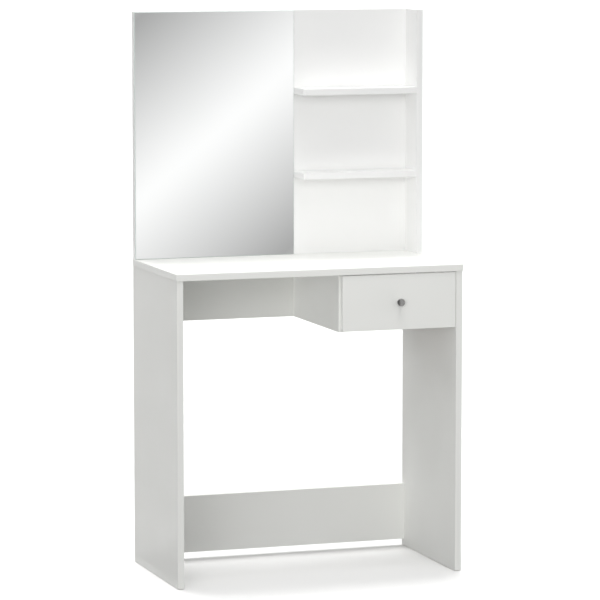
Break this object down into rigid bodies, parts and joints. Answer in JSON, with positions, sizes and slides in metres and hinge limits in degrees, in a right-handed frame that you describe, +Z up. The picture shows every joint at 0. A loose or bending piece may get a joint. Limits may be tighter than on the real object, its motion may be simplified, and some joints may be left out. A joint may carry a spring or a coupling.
{
  "type": "vanity table with mirror",
  "caption": "Slim white vanity desk with panel legs, one inset drawer with a round knob, and a back board carrying a frameless mirror beside open shelves.",
  "frame": {"origin": "on the floor, at the centre of the table's outline with the knob included", "axes": "+X to the right seen from the front, -Y towards the front, +Z up"},
  "size_m": [0.73, 0.39, 1.37],
  "materials": {
    "white_board": "white melamine-faced particleboard, fine matt texture",
    "white_edge": "white edge band, slightly smoother than the boards",
    "mirror": "clear silvered glass with a fine ground edge",
    "foam_tape": "double-sided foam mounting tape",
    "zinc": "die-cast zinc, dull",
    "plated_steel": "zinc-plated steel",
    "beech": "fluted beech dowel",
    "white_plastic": "moulded white plastic",
    "coated_steel": "white epoxy-coated sheet steel",
    "roller_plastic": "moulded nylon roller",
    "drawer_foil": "white foil-wrapped drawer board",
    "hardboard": "white-faced hardboard",
    "satin_metal": "satin nickel-coloured turned metal"
  },
  "bodies": {
    "desk": {"left_side_panel": "white_board", "right_side_panel": "white_board", "desktop": "white_board", "drawer_partition": "white_board", "upper_back_rail": "white_board", "lower_back_rail": "white_board", "mirror_board": "white_board", "upper_side_panel": "white_board", "upper_shelf": "white_board", "lower_shelf": "white_board", "desktop_edge_bands": "white_edge", "side_panel_edge_bands": "white_edge", "partition_edge_bands": "white_edge", "rail_edge_bands": "white_edge", "mirror_board_edge_bands": "white_edge", "upper_side_edge_bands": "white_edge", "shelf_edge_bands": "white_edge", "mirror_glass": "mirror", "mirror_adhesive_pads": "foam_tape", "cam_bolts": "plated_steel", "cam_locks": "zinc", "wood_dowels": "beech", "confirmat_screws": "plated_steel", "cam_cover_caps": "white_plastic", "floor_glides": "white_plastic", "cabinet_runner_left": "coated_steel", "cabinet_runner_right": "coated_steel", "cabinet_runner_screws": "plated_steel", "cabinet_roller_rivets": "plated_steel"},
    "drawer": {"drawer_front_edge_bands": "white_edge", "drawer_front": "white_board", "drawer_side_left": "drawer_foil", "drawer_side_right": "drawer_foil", "drawer_back": "drawer_foil", "drawer_bottom": "hardboard", "drawer_knob": "satin_metal", "drawer_runner_left": "coated_steel", "drawer_runner_right": "coated_steel", "drawer_runner_screws": "plated_steel", "drawer_roller_rivets": "plated_steel", "drawer_cam_bolts": "plated_steel", "drawer_cam_locks": "zinc", "drawer_dowels": "beech", "drawer_back_screws": "plated_steel", "knob_screw": "plated_steel"},
    "cabinet_roller_left": {"cabinet_roller_left": "roller_plastic"},
    "cabinet_roller_right": {"cabinet_roller_right": "roller_plastic"},
    "drawer_roller_left": {"drawer_roller_left": "roller_plastic"},
    "drawer_roller_right": {"drawer_roller_right": "roller_plastic"}
  },
  "joints": [
    {"name": "drawer_slide", "type": "slide", "parent": "desk", "child": "drawer", "axis": [0, -1, 0], "range_m": [0, 0.22]},
    {"name": "cabinet_roller_left_spin", "type": "hinge", "parent": "desk", "child": "cabinet_roller_left", "pos_m": [0.0695, -0.1515, 0.6237], "axis": [1, 0, 0], "continuous": true},
    {"name": "drawer_roller_left_spin", "type": "hinge", "parent": "drawer", "child": "drawer_roller_left", "pos_m": [0.074, 0.1285, 0.6233], "axis": [1, 0, 0], "continuous": true},
    {"name": "cabinet_roller_right_spin", "type": "hinge", "parent": "desk", "child": "cabinet_roller_right", "pos_m": [0.344, -0.1515, 0.6237], "axis": [1, 0, 0], "continuous": true},
    {"name": "drawer_roller_right_spin", "type": "hinge", "parent": "drawer", "child": "drawer_roller_right", "pos_m": [0.3395, 0.1285, 0.6233], "axis": [1, 0, 0], "continuous": true}
  ],
  "couplings": [
    {"joint": "cabinet_roller_left_spin", "follows": "drawer_slide", "rad_per_m": 142.86},
    {"joint": "drawer_roller_left_spin", "follows": "drawer_slide", "rad_per_m": 142.86},
    {"joint": "cabinet_roller_right_spin", "follows": "drawer_slide", "rad_per_m": 142.86},
    {"joint": "drawer_roller_right_spin", "follows": "drawer_slide", "rad_per_m": 142.86}
  ]
}
